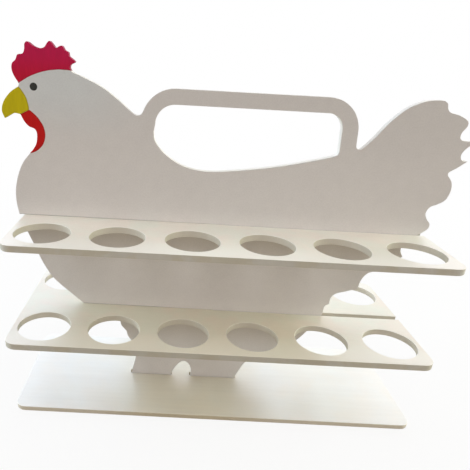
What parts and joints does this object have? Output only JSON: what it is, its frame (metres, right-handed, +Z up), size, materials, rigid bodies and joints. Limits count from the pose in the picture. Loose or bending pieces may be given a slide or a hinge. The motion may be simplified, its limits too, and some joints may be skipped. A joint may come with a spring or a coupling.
{
  "type": "hen-shaped egg holder",
  "caption": "Knock-down egg stand: an upright hen-shaped board with a carrying handle, slotted through two shelves of egg holes and footed in a thin base plate.",
  "frame": {"origin": "underside of the base plate, in the middle of the rows of egg holes and in the middle plane of the hen board", "axes": "+X along the hen from beak to tail, +Y from the viewed side to the far side, +Z up"},
  "size_m": [0.3466, 0.133, 0.2778],
  "materials": {
    "painted_board": "satin white paint on flat board, with comb and wattle in red, beak in yellow and a dark eye",
    "shelf_board": "satin cream-white paint on flat board",
    "base_board": "gloss white paint on flat board"
  },
  "bodies": {
    "root": {"hen_panel": "painted_board", "upper_shelf": "shelf_board", "lower_shelf": "shelf_board", "base_plate": "base_board"}
  },
  "joints": []
}
